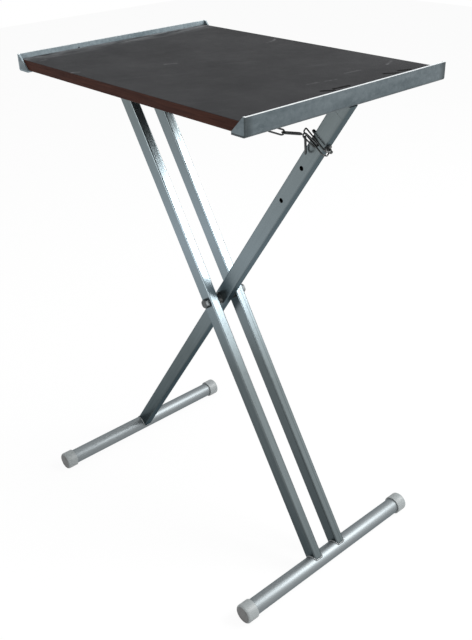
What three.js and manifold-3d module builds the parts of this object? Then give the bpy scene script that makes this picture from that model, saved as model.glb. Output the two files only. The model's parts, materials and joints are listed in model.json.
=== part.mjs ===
// Folding typewriter table: a film-faced board in two angle rails, on a stand of crossed tubes.
// Millimetres, +Z up, +Y to the back. The origin lies on the floor under the middle of the table.
import * as THREE from 'three';
import { mergeVertices } from 'three/addons/utils/BufferGeometryUtils.js';
import Module from 'manifold-3d';

const wasm = await Module();
wasm.setup();

// Clearances
const FIT = 0.3; // between a piece and the hole, end or face that it meets
const HINGE_PLAY = 0.3; // on each side of a hinge lug
const LINK_PLAY = 0.4; // between two chain links that hang in each other
const WIRE_GAP = 0.35; // between the bail and a link threaded on it

// Table top
const TABLE_LENGTH = 624; // over the outer faces of the rails
const TABLE_DEPTH = 450; // along the rails
const UNDERSIDE_HEIGHT = 962; // floor to the undersides of the rails
const RAIL_HEIGHT = 30;
const RAIL_FLANGE = 30;
const RAIL_GAUGE = 3;
const RAIL_BEND = 4; // outer radius of the fold
const GUSSET_GAUGE = 3;
const GUSSET_LAND = 1.5; // blunt tip at each end of a gusset's slope
const BOARD_THICKNESS = 18;
const BOARD_ARRIS = 0.8;

// Screws through the rail flanges
const SCREW_ROWS = [70, 185]; // distance of the screws from the middle of the rail
const SCREW_INSET = 17; // from the rail's outer face
const SCREW_RADIUS = 2;
const SCREW_LENGTH = 16;
const SCREW_HEAD_RADIUS = 4;
const SCREW_HEAD_HEIGHT = 2.8;

// Crossed legs, rectangular tube
const LEG_WIDTH = 30; // in the plane of the fold
const LEG_DEPTH = 20; // along the pivot
const LEG_WALL = 2;
const LEG_CORNER = 3;
const PIVOT_OFFSET = -17.4; // pivot bolt from the middle of the table top
const PIVOT_HEIGHT = 514.3;
const SEAT_INSET = 18.9; // centre leg's axis from the right rail's outer face, at its underside
const SEAT_LENGTH = 15.7; // tube stub under the right rail, along the leg's axis
const CROSS_HOLE_RADIUS = 4.5;
const CROSS_HOLES = [130, 215]; // from the centre leg's top end

// Board hinge at the top of the outer legs
const HINGE_INSET = 33.5; // hinge axis from the left rail's outer face
const HINGE_DROP = 21; // hinge axis below the rail's underside
const LEG_OVERRUN = 12; // outer leg past the hinge axis
const LUG_GAUGE = 4;
const LUG_RADIUS = 14;
const LUG_MARGIN = 2; // from the ends of the lug's top edge to the flange's tip and fold
const HINGE_BOLT_RADIUS = 4;
const HINGE_BOLT_FLATS = 13;
const HINGE_BOLT_HEAD = 5.3;
const HINGE_NUT_HEIGHT = 6.8;
const BOLT_TAIL = 2; // thread past the nut

// Pivot bolt through the three legs
const PIVOT_BOLT_RADIUS = 5;
const PIVOT_BOLT_FLATS = 17;
const PIVOT_BOLT_HEAD = 6.4;
const PIVOT_NUT_HEIGHT = 8;
const WASHER_RADIUS = 10;
const WASHER_GAUGE = 2;
const SPACER_RADIUS = 12;
const SPACER_LENGTH = 12.4;

// Feet, round tube with plastic caps
const FOOT_LENGTH = 476; // over the caps
const FOOT_RADIUS = 16.85;
const FOOT_WALL = 2;
const CAP_RADIUS = 20;
const CAP_LENGTH = 26;
const CAP_END = 3;
const CAP_ROUND = 4;
const CAP_LIP = 1.2;

// Lock pin through the centre leg and its spring-wire bail
const LOCK_DROP = 66.8; // pin below the centre leg's top end
const PIN_RADIUS = 3;
const PIN_TIP = 10; // out of the leg's left face
const PIN_COLLAR_RADIUS = 7;
const PIN_COLLAR_GAUGE = 2.5;
const PIN_HEAD = 9; // past the collar
const PIN_EDGE = 1; // chamfer at both ends
const BAIL_WIRE = 1.1; // radius
const BAIL_SETBACK = 4.8; // bail's axis from the end of the pin's head
const BAIL_REACH = 15; // past the leg's left face
const BAIL_STANDOFF = 4.8; // bail's wire in front of the leg's face
const BAIL_BULGE = 4.5; // swell of the bail round the leg's edge
const BAIL_BULGE_FRONT = 8; // from the bail's axis to the top of that swell
const BAIL_BEND = 4;

// Chain
const LINK_WIRE = 1.5; // radius
const LINK_WIDTH = 12;
const LINK_INNER = 26; // clear length
const BAIL_LINK_DROP = 5.5; // the link on the bail, below the pin along the leg
const BAIL_LINK_SHIFT = 12; // middle of that link from the leg's axis
const TAIL_LEAN = 25; // degrees that the last link leans from upright
const CHAIN_DIRECTION = 238; // degrees in plan, from the lock to the screw eye
const CHAIN_SLOPES = [42, 32, 20, 8]; // degrees below level, from the eye to the lock
const CHAIN_GAP = 0.7; // free end of the chain past the bail's end
const CHAIN_FRONT = 2.2; // free end of the chain in front of the link on the bail
const CHAIN_DROP = 8; // free end of the chain below the pin along the leg
const EYE_RADIUS = 6; // middle of the screw eye's wire
const EYE_DROP = 11.5; // middle of the screw eye below the board
const EYE_SHANK = 14; // length in the board

// Fineness of the round faces
const ROUND = 32;
const SMALL_ROUND = 16;
const WIRE_SIDES = 8;
const CORNER_STEPS = 4;
const BAIL_STEP = 2.6; // length of one stretch of the bail
const PAST = 1; // how far a cutting tool runs past the face that it cuts

// Places worked out from the sizes above
const radians = THREE.MathUtils.degToRad;
const halfLength = TABLE_LENGTH / 2;
const boardBottom = UNDERSIDE_HEIGHT + RAIL_GAUGE;
const innerBend = Math.max(RAIL_BEND - RAIL_GAUGE, 0);
const footAxis = CAP_RADIUS * Math.cos(Math.PI / ROUND);
const hinge = new THREE.Vector3(HINGE_INSET - halfLength, 0, UNDERSIDE_HEIGHT - HINGE_DROP);
const pivot = new THREE.Vector3(PIVOT_OFFSET, 0, PIVOT_HEIGHT);
const seat = new THREE.Vector3(halfLength - SEAT_INSET, 0, UNDERSIDE_HEIGHT);
const hingeReach = hinge.distanceTo(pivot);
const seatReach = seat.distanceTo(pivot);
const outerTurn = Math.atan2(hinge.x - pivot.x, hinge.z - pivot.z);
const centreTurn = Math.atan2(seat.x - pivot.x, seat.z - pivot.z);
const outerFootReach = (pivot.z - footAxis) / Math.cos(outerTurn);
const centreFootReach = (pivot.z - footAxis) / Math.cos(centreTurn);
const rightFoot = pivot.x - outerFootReach * Math.sin(outerTurn);
const leftFoot = pivot.x - centreFootReach * Math.sin(centreTurn);
const outerLegInside = LEG_DEPTH / 2 + FIT + SPACER_LENGTH + FIT;
const outerLegOutside = outerLegInside + LEG_DEPTH;
const centreLegTop = seatReach - SEAT_LENGTH - FIT;
const lockPlace = centreLegTop - LOCK_DROP;
const linkRadius = LINK_WIDTH / 2 - LINK_WIRE;
const linkStraight = LINK_INNER / 2 + LINK_WIRE - linkRadius;
const linkReach = linkStraight + linkRadius; // from a link's middle to the middle of its end wire
const linkPitch = LINK_INNER - LINK_PLAY;

// Materials
function finish(color, roughness, metalness) {
  return new THREE.MeshStandardMaterial({ color, roughness, metalness });
}
const filmFacedPly = finish(0x2f2e33, 0.55, 0);
const galvanised = finish(0x9da3a3, 0.45, 0.85);
const zincTube = finish(0xb4babd, 0.3, 0.9);
const plastic = finish(0xb3b6ba, 0.5, 0);
const darkSteel = finish(0x55534f, 0.4, 0.85);
const zincBolt = finish(0x77787a, 0.35, 0.9);

// Joining and cutting
function solidOf(geometry) {
  const bare = geometry.clone();
  bare.deleteAttribute('normal');
  bare.deleteAttribute('uv');
  const merged = mergeVertices(bare);
  const corners = merged.index.array;
  const faces = [];
  for (let i = 0; i < corners.length; i += 3) {
    const [a, b, c] = corners.slice(i, i + 3);
    if (a !== b && b !== c && c !== a) {
      faces.push(a, b, c);
    }
  }
  return new wasm.Manifold(new wasm.Mesh({
    numProp: 3,
    vertProperties: Float32Array.from(merged.attributes.position.array),
    triVerts: Uint32Array.from(faces),
  }));
}

function geometryOf(solid) {
  const mesh = solid.getMesh();
  const geometry = new THREE.BufferGeometry();
  geometry.setAttribute('position', new THREE.BufferAttribute(mesh.vertProperties, 3));
  geometry.setIndex(new THREE.BufferAttribute(mesh.triVerts, 1));
  return geometry;
}

function cut(geometry, tools) {
  return geometryOf(tools.reduce((solid, tool) => solid.subtract(solidOf(tool)), solidOf(geometry)));
}

function join(first, second) {
  return geometryOf(solidOf(first).add(solidOf(second)));
}

function common(first, second) {
  return geometryOf(solidOf(first).intersect(solidOf(second)));
}

// Basic forms
function extrude(shape, depth) {
  const options = { depth, bevelEnabled: false, curveSegments: CORNER_STEPS };
  return new THREE.ExtrudeGeometry(shape, options);
}

// A shape drawn in X and Z, between two depths
function alongY(shape, front, back) {
  return extrude(shape, back - front).rotateX(Math.PI / 2).translate(0, back, 0);
}

// A shape drawn in Y and Z, centred on X
function alongX(shape, length) {
  return extrude(shape, length).translate(0, 0, -length / 2).rotateX(Math.PI / 2).rotateZ(Math.PI / 2);
}

function rodY(radius, low, high, sides = SMALL_ROUND) {
  const rod = new THREE.CylinderGeometry(radius, radius, high - low, sides, 1, false, Math.PI / sides);
  return rod.translate(0, (low + high) / 2, 0);
}

function rodX(radius, low, high) {
  return rodY(radius, low, high).rotateZ(-Math.PI / 2);
}

function rodZ(radius, low, high) {
  return rodY(radius, low, high).rotateX(Math.PI / 2);
}

// A revolved profile of radius and height about Y, with a flat facet at the top and the bottom
function turned(profile, sides = SMALL_ROUND) {
  const points = profile.map(([radius, height]) => new THREE.Vector2(radius, height));
  return new THREE.LatheGeometry(points, sides, Math.PI / sides);
}

function ring(outer, inner, low, high, sides = SMALL_ROUND) {
  return turned([[inner, low], [outer, low], [outer, high], [inner, high], [inner, low]], sides);
}

function roundedRectangle(path, width, depth, radius) {
  const x = width / 2 - radius;
  const y = depth / 2 - radius;
  const quarter = Math.PI / 2;
  path.moveTo(x + radius, -y);
  path.absarc(x, y, radius, 0, quarter, false);
  path.absarc(-x, y, radius, quarter, 2 * quarter, false);
  path.absarc(-x, -y, radius, 2 * quarter, 3 * quarter, false);
  path.absarc(x, -y, radius, 3 * quarter, 4 * quarter, false);
  return path;
}

function legTube(low, high) {
  const section = roundedRectangle(new THREE.Shape(), LEG_WIDTH, LEG_DEPTH, LEG_CORNER);
  const bore = roundedRectangle(
    new THREE.Path(),
    LEG_WIDTH - 2 * LEG_WALL,
    LEG_DEPTH - 2 * LEG_WALL,
    Math.max(LEG_CORNER - LEG_WALL, LEG_CORNER / 4),
  );
  section.holes.push(bore);
  return extrude(section, high - low).translate(0, 0, low);
}

// A hexagon from 0 to its height along Y, with its corners turned down at the far end
function hexagon(flats, height) {
  const corner = flats / Math.sqrt(3);
  const prism = rodY(corner, 0, height, 6);
  const slope = corner - flats / 2;
  const profile = [[0, -PAST], [corner + PAST, -PAST], [corner + PAST, height - slope]];
  const top = [[corner, height - slope / 2], [flats / 2, height], [0, height]];
  return common(prism, turned([...profile, ...top], 24));
}

// A bolt along Y, its head above 0 and its shank below
function hexBolt(flats, head, radius, length) {
  return join(hexagon(flats, head), rodY(radius, -length, head / 2));
}

function hexNut(flats, height, bore) {
  return cut(hexagon(flats, height), [rodY(bore, -PAST, height + PAST)]);
}

// One long chain link along X, its width along Y
function linkGeometry() {
  const sides = 20;
  const torus = new THREE.TorusGeometry(linkRadius, LINK_WIRE, WIRE_SIDES, sides);
  torus.rotateZ(Math.PI / sides);
  const place = torus.attributes.position;
  for (let i = 0; i < place.count; i += 1) {
    place.setX(i, place.getX(i) + Math.sign(place.getX(i)) * linkStraight);
  }
  return torus;
}

function piece(parent, name, geometry, material) {
  const mesh = new THREE.Mesh(geometry, material);
  mesh.name = name;
  parent.add(mesh);
  return mesh;
}

const table = new THREE.Group();
const lowX = Math.min(-halfLength, leftFoot - footAxis);
const highX = Math.max(halfLength, rightFoot + footAxis);
table.position.x = -(lowX + highX) / 2;

function group(place, turn = 0) {
  const made = new THREE.Group();
  made.position.copy(place);
  made.rotation.y = turn;
  table.add(made);
  return made;
}

// Places on the centre leg: across it in the plane of the fold, to the back, and up along it
function onLeg(across, back, up) {
  const place = new THREE.Vector3(across, back, up);
  return place.applyAxisAngle(new THREE.Vector3(0, 1, 0), centreTurn).add(pivot);
}

// Route of the chain, from its free end by the lock up to the screw eye
const chainJoints = [];
const bailFront = -LEG_DEPTH / 2 - BAIL_STANDOFF;
const threadStep = BAIL_WIRE + LINK_WIRE + WIRE_GAP;
const chainEnd = onLeg(
  -LEG_WIDTH / 2 - BAIL_REACH - CHAIN_GAP,
  bailFront - threadStep - LINK_WIRE - CHAIN_FRONT,
  lockPlace - CHAIN_DROP,
);
const endOverlap = linkReach - linkPitch / 2;

// The links keep their angles to each other, and the whole chain turns to meet the screw eye
const lastLink = CHAIN_SLOPES.length - 1;
let chainLevel = 0;
let chainRise = 0;
CHAIN_SLOPES.forEach((slope, index) => {
  const atEnds = (index === lastLink ? endOverlap : 0) - (index === 0 ? endOverlap : 0);
  chainLevel += (linkPitch + atEnds) * Math.cos(radians(slope));
  chainRise += (linkPitch + atEnds) * Math.sin(radians(slope));
});
const eyeRise = boardBottom - EYE_DROP - EYE_RADIUS - chainEnd.z;
const eyeSlope = Math.asin(eyeRise / Math.hypot(chainLevel, chainRise));
const chainTurn = eyeSlope - Math.atan2(chainRise, chainLevel);
function chainStep(slope) {
  const heading = radians(CHAIN_DIRECTION);
  const fall = radians(slope) + chainTurn;
  const level = -Math.cos(fall);
  return new THREE.Vector3(level * Math.cos(heading), level * Math.sin(heading), -Math.sin(fall));
}
const chainSteps = CHAIN_SLOPES.map(chainStep);
const lastStep = chainSteps[chainSteps.length - 1];
let joint = chainEnd.clone().addScaledVector(lastStep, -endOverlap);
chainJoints.push(joint);
for (const step of [...chainSteps].reverse()) {
  joint = joint.clone().addScaledVector(step, -linkPitch);
  chainJoints.unshift(joint);
}
const eyeCentre = chainJoints[0].clone().addScaledVector(chainSteps[0], endOverlap);
eyeCentre.z += EYE_RADIUS;

// Board, with pilot holes for the rail screws and the screw eye
function makeBoard() {
  const length = TABLE_LENGTH - 2 * (RAIL_GAUGE + innerBend + FIT);
  const half = TABLE_DEPTH / 2 - GUSSET_GAUGE - FIT;
  const section = new THREE.Shape();
  section.moveTo(-half + BOARD_ARRIS, 0);
  section.lineTo(half - BOARD_ARRIS, 0);
  section.lineTo(half, BOARD_ARRIS);
  section.lineTo(half, BOARD_THICKNESS - BOARD_ARRIS);
  section.lineTo(half - BOARD_ARRIS, BOARD_THICKNESS);
  section.lineTo(-half + BOARD_ARRIS, BOARD_THICKNESS);
  section.lineTo(-half, BOARD_THICKNESS - BOARD_ARRIS);
  section.lineTo(-half, BOARD_ARRIS);
  section.closePath();
  const screwDepth = SCREW_LENGTH - RAIL_GAUGE;
  const pilots = [];
  for (const x of [SCREW_INSET - halfLength, halfLength - SCREW_INSET]) {
    for (const y of SCREW_ROWS.flatMap((row) => [-row, row])) {
      pilots.push(rodZ(SCREW_RADIUS + FIT, -PAST, screwDepth + FIT).translate(x, y, 0));
    }
  }
  const eyePilot = rodZ(LINK_WIRE + FIT, -PAST, EYE_SHANK + FIT);
  pilots.push(eyePilot.translate(eyeCentre.x, eyeCentre.y, 0));
  const board = piece(table, 'table_board', cut(alongX(section, length), pilots), filmFacedPly);
  board.position.z = boardBottom;
}

// Rails, drawn at the left end with the flange pointing inwards
function railShape() {
  const shape = new THREE.Shape();
  shape.moveTo(RAIL_BEND, 0);
  shape.lineTo(RAIL_FLANGE, 0);
  shape.lineTo(RAIL_FLANGE, RAIL_GAUGE);
  const bend = RAIL_GAUGE + innerBend;
  shape.lineTo(bend, RAIL_GAUGE);
  shape.absarc(bend, bend, innerBend, -Math.PI / 2, -Math.PI, true);
  shape.lineTo(RAIL_GAUGE, RAIL_HEIGHT);
  shape.lineTo(0, RAIL_HEIGHT);
  shape.lineTo(0, RAIL_BEND);
  shape.absarc(RAIL_BEND, RAIL_BEND, RAIL_BEND, Math.PI, 1.5 * Math.PI, false);
  return shape;
}

function gussetShape() {
  const relief = RAIL_GAUGE + innerBend + FIT;
  const shape = new THREE.Shape();
  shape.moveTo(relief, RAIL_GAUGE);
  shape.lineTo(RAIL_FLANGE, RAIL_GAUGE);
  shape.lineTo(RAIL_FLANGE, RAIL_GAUGE + GUSSET_LAND);
  shape.lineTo(RAIL_GAUGE + GUSSET_LAND, RAIL_HEIGHT);
  shape.lineTo(RAIL_GAUGE, RAIL_HEIGHT);
  shape.lineTo(RAIL_GAUGE, relief);
  shape.closePath();
  return shape;
}

function screwGeometry() {
  const head = SCREW_HEAD_RADIUS;
  const height = SCREW_HEAD_HEIGHT;
  const profile = [[0, -height], [head * 0.55, -height], [head * 0.9, -height * 0.7], [head, -height * 0.3]];
  const shank = [[head, 0], [SCREW_RADIUS, 0], [SCREW_RADIUS, SCREW_LENGTH - SCREW_RADIUS], [0, SCREW_LENGTH]];
  return turned([...profile, ...shank], 12).rotateX(Math.PI / 2);
}

function makeRail(side, x, turn) {
  const rail = new THREE.Group();
  rail.position.set(x, 0, UNDERSIDE_HEIGHT);
  rail.rotation.z = turn;
  table.add(rail);
  const facing = Math.cos(turn);
  const rows = SCREW_ROWS.flatMap((row) => [-row, row]).sort((a, b) => a - b);
  const hole = rodZ(SCREW_RADIUS + FIT, -PAST, RAIL_GAUGE + PAST);
  const holes = rows.map((y) => hole.clone().translate(SCREW_INSET, y, 0));
  const half = TABLE_DEPTH / 2;
  piece(rail, `${side}_rail`, cut(alongY(railShape(), -half, half), holes), galvanised);
  const front = alongY(gussetShape(), -half, -half + GUSSET_GAUGE);
  const back = alongY(gussetShape(), half - GUSSET_GAUGE, half);
  const [near, far] = facing > 0 ? [front, back] : [back, front];
  piece(rail, `${side}_gusset_front`, near, galvanised);
  piece(rail, `${side}_gusset_back`, far, galvanised);
  rows.forEach((y, index) => {
    const screw = piece(rail, `${side}_rail_screw_${index + 1}`, screwGeometry(), zincBolt);
    screw.position.set(SCREW_INSET, facing * y, 0);
  });
}

// Lugs under the left rail that the outer legs hinge in
function lugShape() {
  const left = new THREE.Vector2(RAIL_BEND + LUG_MARGIN - halfLength, UNDERSIDE_HEIGHT);
  const right = new THREE.Vector2(RAIL_FLANGE - LUG_MARGIN - halfLength, UNDERSIDE_HEIGHT);
  const centre = new THREE.Vector2(hinge.x, hinge.z);
  const tangent = (corner, side) => {
    const offset = corner.clone().sub(centre);
    return offset.angle() + side * Math.acos(LUG_RADIUS / offset.length());
  };
  const shape = new THREE.Shape();
  shape.moveTo(left.x, left.y);
  shape.absarc(centre.x, centre.y, LUG_RADIUS, tangent(left, 1), tangent(right, -1) + 2 * Math.PI, false);
  shape.lineTo(right.x, right.y);
  shape.closePath();
  const bore = new THREE.Path();
  bore.absarc(centre.x, centre.y, HINGE_BOLT_RADIUS + FIT, 0, 2 * Math.PI, true);
  shape.holes.push(bore);
  return shape;
}

function makeHinge(side, facing) {
  const inside = outerLegOutside + HINGE_PLAY;
  const outside = inside + LUG_GAUGE;
  const shape = lugShape();
  const options = { depth: LUG_GAUGE, bevelEnabled: false, curveSegments: SMALL_ROUND };
  const plate = new THREE.ExtrudeGeometry(shape, options).rotateX(Math.PI / 2);
  plate.translate(0, facing > 0 ? outside : -inside, 0);
  piece(table, `hinge_lug_${side}`, plate, galvanised);
  const place = group(hinge);
  const head = outside + HINGE_PLAY;
  const nutFace = outerLegInside;
  const length = head - nutFace + HINGE_NUT_HEIGHT + BOLT_TAIL;
  const turn = facing > 0 ? 0 : Math.PI;
  const bolt = hexBolt(HINGE_BOLT_FLATS, HINGE_BOLT_HEAD, HINGE_BOLT_RADIUS, length).rotateX(turn);
  piece(place, `hinge_bolt_${side}`, bolt, zincBolt).position.y = facing * head;
  const nut = hexNut(HINGE_BOLT_FLATS, HINGE_NUT_HEIGHT, HINGE_BOLT_RADIUS + FIT).rotateX(Math.PI - turn);
  piece(place, `hinge_nut_${side}`, nut, zincBolt).position.y = facing * nutFace;
}

// Outer legs, each shaped to the foot at its lower end
function footCut(reach) {
  return rodY(FOOT_RADIUS + FIT, -LEG_DEPTH, LEG_DEPTH, ROUND).translate(0, 0, -reach);
}

function makeOuterLeg(side, facing) {
  const leg = group(pivot, outerTurn);
  const across = LEG_DEPTH / 2 + PAST;
  const pivotHole = rodY(PIVOT_BOLT_RADIUS + FIT, -across, across);
  const hingeHole = rodY(HINGE_BOLT_RADIUS + FIT, -across, across).translate(0, 0, hingeReach);
  const tube = legTube(-outerFootReach, hingeReach + LEG_OVERRUN);
  const shaped = cut(tube, [footCut(outerFootReach), pivotHole, hingeHole]);
  const middle = facing * (outerLegInside + outerLegOutside) / 2;
  piece(leg, `outer_leg_${side}`, shaped, zincTube).position.y = middle;
}

// Centre leg, with holes for the pivot, the lock pin and two spare settings
function makeCentreLeg() {
  const leg = group(pivot, centreTurn);
  const across = LEG_DEPTH / 2 + PAST;
  const width = LEG_WIDTH / 2 + PAST;
  const tools = [footCut(centreFootReach), rodY(PIVOT_BOLT_RADIUS + FIT, -across, across)];
  for (const drop of CROSS_HOLES) {
    tools.push(rodY(CROSS_HOLE_RADIUS, -across, across).translate(0, 0, centreLegTop - drop));
  }
  tools.push(rodX(PIN_RADIUS + FIT, -width, width).translate(0, 0, lockPlace));
  piece(leg, 'centre_leg', cut(legTube(-centreFootReach, centreLegTop), tools), zincTube);
}

// Stub of the same tube under the right rail, cut level below the flange
function makeSeat() {
  const place = group(pivot, centreTurn);
  const above = new THREE.BoxGeometry(4 * LEG_WIDTH, 2 * LEG_DEPTH, 4 * LEG_WIDTH);
  above.translate(0, 0, 2 * LEG_WIDTH - FIT).rotateY(-centreTurn).translate(0, 0, seatReach);
  const stub = legTube(centreLegTop + FIT, seatReach + LEG_WIDTH);
  piece(place, 'leg_seat', cut(stub, [above]), zincTube);
}

// Pivot bolt, washers, spacers and nut, front to back
function makePivot() {
  const place = group(pivot);
  const face = outerLegOutside + WASHER_GAUGE;
  const length = 2 * face + PIVOT_NUT_HEIGHT + BOLT_TAIL;
  const bore = PIVOT_BOLT_RADIUS + FIT;
  const bolt = hexBolt(PIVOT_BOLT_FLATS, PIVOT_BOLT_HEAD, PIVOT_BOLT_RADIUS, length).rotateX(Math.PI);
  piece(place, 'pivot_bolt', bolt, zincBolt).position.y = -face;
  const nut = hexNut(PIVOT_BOLT_FLATS, PIVOT_NUT_HEIGHT, bore);
  piece(place, 'pivot_nut', nut, zincBolt).position.y = face;
  const washer = ring(WASHER_RADIUS, bore, 0, WASHER_GAUGE, 24);
  piece(place, 'pivot_washer_front', washer, zincBolt).position.y = -face;
  piece(place, 'pivot_washer_back', washer, zincBolt).position.y = outerLegOutside;
  const spacer = ring(SPACER_RADIUS, bore, 0, SPACER_LENGTH, 24);
  piece(place, 'pivot_spacer_front', spacer, darkSteel).position.y = FIT - outerLegInside;
  piece(place, 'pivot_spacer_back', spacer, darkSteel).position.y = LEG_DEPTH / 2 + FIT;
}

// Foot tube with a cap over each end
function capGeometry() {
  const end = FOOT_LENGTH / 2;
  const lip = end - CAP_LENGTH;
  const bore = FOOT_RADIUS + FIT;
  const profile = [[0, end - CAP_END], [bore, end - CAP_END], [bore, lip], [CAP_RADIUS - CAP_LIP, lip]];
  profile.push([CAP_RADIUS, lip + CAP_LIP]);
  for (let i = 0; i <= CORNER_STEPS; i += 1) {
    const angle = (i / CORNER_STEPS) * (Math.PI / 2);
    const radius = CAP_RADIUS - CAP_ROUND * (1 - Math.cos(angle));
    profile.push([radius, end - CAP_ROUND * (1 - Math.sin(angle))]);
  }
  profile.push([0, end]);
  return turned(profile, ROUND);
}

function makeFoot(side, x) {
  const foot = group(new THREE.Vector3(x, 0, footAxis));
  const half = FOOT_LENGTH / 2 - CAP_END - FIT;
  const tube = ring(FOOT_RADIUS, FOOT_RADIUS - FOOT_WALL, -half, half, ROUND);
  piece(foot, `${side}_foot_tube`, tube, zincTube);
  piece(foot, `${side}_foot_cap_back`, capGeometry(), plastic);
  piece(foot, `${side}_foot_cap_front`, capGeometry().rotateX(Math.PI), plastic);
}

// Lock pin across the centre leg, with the cross hole that its bail turns in
const pinCollar = LEG_WIDTH / 2 + FIT;
const pinEnd = pinCollar + PIN_COLLAR_GAUGE + PIN_HEAD;
const bailAxis = pinEnd - BAIL_SETBACK;

function makePin() {
  const place = group(pivot, centreTurn);
  const tip = -LEG_WIDTH / 2 - PIN_TIP;
  const point = [[0, tip], [PIN_RADIUS - PIN_EDGE, tip], [PIN_RADIUS, tip + 2 * PIN_EDGE]];
  const collarEnd = pinCollar + PIN_COLLAR_GAUGE;
  const collar = [[PIN_RADIUS, pinCollar], [PIN_COLLAR_RADIUS, pinCollar]];
  const neck = [[PIN_COLLAR_RADIUS, collarEnd], [PIN_RADIUS, collarEnd]];
  const head = [[PIN_RADIUS, pinEnd - PIN_EDGE], [PIN_RADIUS - PIN_EDGE, pinEnd], [0, pinEnd]];
  const body = turned([...point, ...collar, ...neck, ...head]).rotateZ(-Math.PI / 2);
  const hole = rodZ(BAIL_WIRE + FIT, -2 * PIN_RADIUS, 2 * PIN_RADIUS).translate(bailAxis, 0, 0);
  piece(place, 'lock_pin', cut(body, [hole]), darkSteel).position.z = lockPlace;
}

// A path of straight runs with its corners rounded
function roundedPath(points, radius) {
  const path = new THREE.CurvePath();
  let from = points[0];
  for (let i = 1; i < points.length - 1; i += 1) {
    const corner = points[i];
    const before = corner.clone().sub(points[i - 1]);
    const after = points[i + 1].clone().sub(corner);
    const reach = Math.min(radius, before.length() / 2, after.length() / 2);
    before.setLength(reach);
    after.setLength(reach);
    const start = corner.clone().sub(before);
    const end = corner.clone().add(after);
    path.add(new THREE.LineCurve3(from, start));
    path.add(new THREE.QuadraticBezierCurve3(start, corner, end));
    from = end;
  }
  path.add(new THREE.LineCurve3(from, points[points.length - 1]));
  return path;
}

const bailHalf = PIN_RADIUS + FIT + BAIL_WIRE;

function makeBail() {
  const place = group(pivot, centreTurn);
  const end = -LEG_WIDTH / 2 - BAIL_REACH;
  const half = [
    [bailAxis, 0, BAIL_WIRE / 2],
    [bailAxis, 0, bailHalf],
    [bailAxis + BAIL_BULGE, -BAIL_BULGE_FRONT, bailHalf],
    [bailAxis, bailFront, bailHalf],
    [end, bailFront, bailHalf],
  ];
  const other = half.map(([x, y, z]) => [x, y, -z]).reverse();
  const points = [...half, ...other].map((corner) => new THREE.Vector3(...corner));
  const path = roundedPath(points, BAIL_BEND);
  const section = new THREE.Shape();
  section.absarc(0, 0, BAIL_WIRE, 0, 2 * Math.PI, false);
  const steps = Math.round(path.getLength() / BAIL_STEP);
  const options = { steps, extrudePath: path, curveSegments: WIRE_SIDES / 2, bevelEnabled: false };
  const wire = new THREE.ExtrudeGeometry(section, options);
  piece(place, 'lock_bail', wire, darkSteel).position.z = lockPlace;
}

// A link whose end wires lie at two places, its width towards a third direction
function makeLink(name, from, to, towards) {
  const along = to.clone().sub(from).normalize();
  const width = towards.clone().addScaledVector(along, -towards.dot(along)).normalize();
  const normal = along.clone().cross(width);
  const link = piece(table, name, linkGeometry(), darkSteel);
  link.quaternion.setFromRotationMatrix(new THREE.Matrix4().makeBasis(along, width, normal));
  link.position.copy(from).add(to).multiplyScalar(0.5);
}

// Screw eye in the underside of the board
function makeEye() {
  const torus = new THREE.TorusGeometry(EYE_RADIUS, LINK_WIRE, WIRE_SIDES, 24).rotateX(Math.PI / 2);
  const top = boardBottom + EYE_SHANK - eyeCentre.z;
  const eye = piece(table, 'chain_eye', join(torus, rodZ(LINK_WIRE, EYE_RADIUS, top)), darkSteel);
  eye.position.copy(eyeCentre);
  eye.rotation.z = radians(CHAIN_DIRECTION - 90);
}

// Chain links from the eye to the lock, each turned a quarter from the last
function makeChain() {
  const up = new THREE.Vector3(0, 0, 1);
  chainSteps.forEach((step, index) => {
    const middle = chainJoints[index].clone().add(chainJoints[index + 1]).multiplyScalar(0.5);
    const from = middle.clone().addScaledVector(step, -linkReach);
    const to = middle.clone().addScaledVector(step, linkReach);
    const level = step.clone().cross(up);
    makeLink(`chain_link_${index + 1}`, from, to, index % 2 === 0 ? up : level);
  });
}

// The link threaded on the bail and the last link that hangs from it
function makeLockLinks() {
  const up = lockPlace - BAIL_LINK_DROP;
  const tilt = Math.asin(threadStep / linkReach);
  const reach = linkReach * Math.cos(tilt);
  const left = onLeg(-BAIL_LINK_SHIFT - reach, bailFront - threadStep, up);
  const right = onLeg(reach - BAIL_LINK_SHIFT, bailFront + threadStep, up);
  const along = onLeg(0, 0, 1).sub(pivot);
  makeLink('chain_link_5', left, right, along);
  const hookAcross = linkStraight + BAIL_LINK_SHIFT;
  const hook = onLeg(-hookAcross, bailFront - threadStep * (linkStraight / reach), up - linkRadius);
  const lean = radians(TAIL_LEAN);
  const down = new THREE.Vector3(-Math.sin(lean), 0, -Math.cos(lean));
  const skew = -down.dot(along); // the two wires pass each other square to the link on the bail
  const top = hook.addScaledVector(down, -(2 * LINK_WIRE + LINK_PLAY) / skew);
  const bottom = top.clone().addScaledVector(down, 2 * linkReach);
  makeLink('chain_link_6', top, bottom, new THREE.Vector3(0, 1, 0));
}

makeBoard();
makeRail('left', -halfLength, 0);
makeRail('right', halfLength, Math.PI);
makeHinge('front', -1);
makeHinge('back', 1);
makeSeat();
makeEye();
makeOuterLeg('front', -1);
makeOuterLeg('back', 1);
makeFoot('right', rightFoot);
makePivot();
makeCentreLeg();
makeFoot('left', leftFoot);
makePin();
makeBail();
makeLockLinks();
makeChain();

export default table;
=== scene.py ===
"""Looks of a folding typewriter table: film-faced board, galvanised rails, zinc tube stand."""
import json
import math

import bmesh
import bpy
import numpy as np
from bpy.props import FloatProperty, FloatVectorProperty, IntProperty, PointerProperty
from mathutils import Matrix, Vector


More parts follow.
